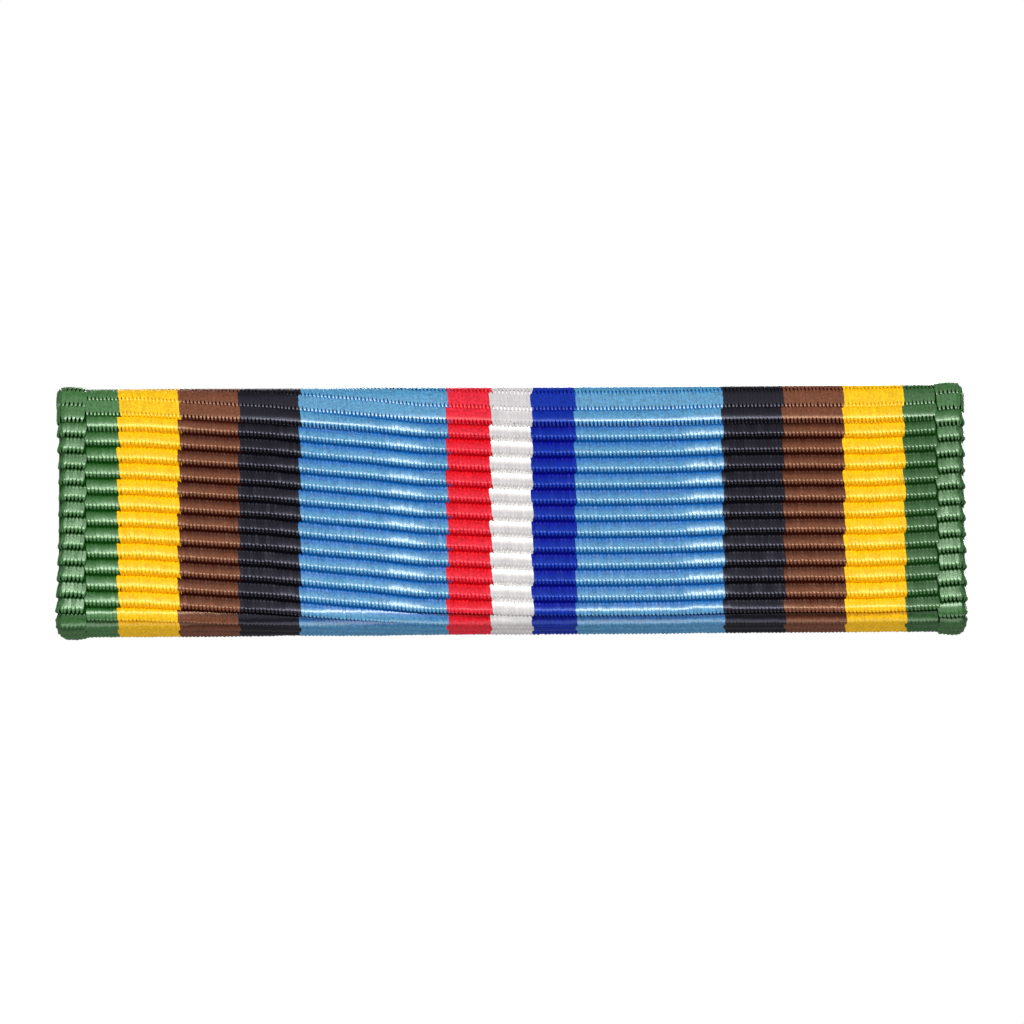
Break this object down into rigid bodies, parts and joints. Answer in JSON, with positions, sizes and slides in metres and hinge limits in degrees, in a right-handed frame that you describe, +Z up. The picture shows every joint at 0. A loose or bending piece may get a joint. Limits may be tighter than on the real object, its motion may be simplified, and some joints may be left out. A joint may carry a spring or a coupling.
{
  "type": "service ribbon bar",
  "caption": "Striped woven service ribbon wrapped on a slide-on metal channel, with a mounting bar, two posts and spring clutches behind it.",
  "frame": {"origin": "centre of the mounting bar's back face, which rests on the garment", "axes": "+X along the ribbon, to the viewer's right as it is worn and seen; +Y from the ribbon's face back into the garment; +Z up"},
  "size_m": [0.035, 0.0112, 0.0098],
  "materials": {
    "ribbon_white": "woven rayon grosgrain",
    "ribbon_red": "woven rayon grosgrain",
    "ribbon_dark_blue": "woven rayon grosgrain",
    "ribbon_light_blue": "woven rayon grosgrain",
    "ribbon_black": "woven rayon grosgrain",
    "ribbon_brown": "woven rayon grosgrain",
    "ribbon_yellow": "woven rayon grosgrain",
    "ribbon_green": "woven rayon grosgrain",
    "channel_metal": "rolled sheet, plain mill finish",
    "tray_metal": "rolled sheet, plain mill finish",
    "bar_metal": "nickel plated, polished",
    "post_metal": "nickel plated steel pin",
    "clutch_brass": "pressed brass, bright",
    "clutch_cap_brass": "drawn brass, bright",
    "wing_brass": "pressed brass strip",
    "spring_steel": "drawn spring wire"
  },
  "bodies": {
    "mounting_bar": {"mounting_bar": "bar_metal", "left_post": "post_metal", "right_post": "post_metal"},
    "ribbon_unit": {"white_stripe": "ribbon_white", "red_stripe": "ribbon_red", "dark_blue_stripe": "ribbon_dark_blue", "light_blue_left": "ribbon_light_blue", "light_blue_right": "ribbon_light_blue", "black_left": "ribbon_black", "black_right": "ribbon_black", "brown_left": "ribbon_brown", "brown_right": "ribbon_brown", "yellow_left": "ribbon_yellow", "yellow_right": "ribbon_yellow", "green_left": "ribbon_green", "green_right": "ribbon_green", "selvedge_left": "ribbon_green", "selvedge_right": "ribbon_green", "ribbon_channel": "channel_metal", "track_tray": "tray_metal"},
    "left_clutch": {"left_clutch_base": "clutch_brass", "left_clutch_cap": "clutch_cap_brass", "left_clutch_spring": "spring_steel"},
    "left_lower_wing": {"left_clutch_lower_wing": "wing_brass"},
    "left_upper_wing": {"left_clutch_upper_wing": "wing_brass"},
    "right_clutch": {"right_clutch_base": "clutch_brass", "right_clutch_cap": "clutch_cap_brass", "right_clutch_spring": "spring_steel"},
    "right_lower_wing": {"right_clutch_lower_wing": "wing_brass"},
    "right_upper_wing": {"right_clutch_upper_wing": "wing_brass"}
  },
  "joints": [
    {"name": "ribbon_slide", "type": "slide", "parent": "mounting_bar", "child": "ribbon_unit", "axis": [1, 0, 0], "range_m": [-0.036, 0.036]},
    {"name": "left_clutch_pull", "type": "slide", "parent": "mounting_bar", "child": "left_clutch", "axis": [0, 1, 0], "range_m": [0, 0.008]},
    {"name": "left_lower_pinch", "type": "slide", "parent": "left_clutch", "child": "left_lower_wing", "axis": [-1, 0, 0], "range_m": [0, 0.0005], "stiffness_N_per_m": 2000, "springref_m": -0.0005, "deforming": ["left_clutch_spring"]},
    {"name": "left_upper_pinch", "type": "slide", "parent": "left_clutch", "child": "left_upper_wing", "axis": [1, 0, 0], "range_m": [0, 0.0005], "stiffness_N_per_m": 2000, "springref_m": -0.0005},
    {"name": "right_clutch_pull", "type": "slide", "parent": "mounting_bar", "child": "right_clutch", "axis": [0, 1, 0], "range_m": [0, 0.008]},
    {"name": "right_lower_pinch", "type": "slide", "parent": "right_clutch", "child": "right_lower_wing", "axis": [-1, 0, 0], "range_m": [0, 0.0005], "stiffness_N_per_m": 2000, "springref_m": -0.0005, "deforming": ["right_clutch_spring"]},
    {"name": "right_upper_pinch", "type": "slide", "parent": "right_clutch", "child": "right_upper_wing", "axis": [1, 0, 0], "range_m": [0, 0.0005], "stiffness_N_per_m": 2000, "springref_m": -0.0005}
  ],
  "couplings": [
    {"joint": "left_upper_pinch", "follows": "left_lower_pinch", "ratio": 1},
    {"joint": "right_upper_pinch", "follows": "right_lower_pinch", "ratio": 1}
  ]
}
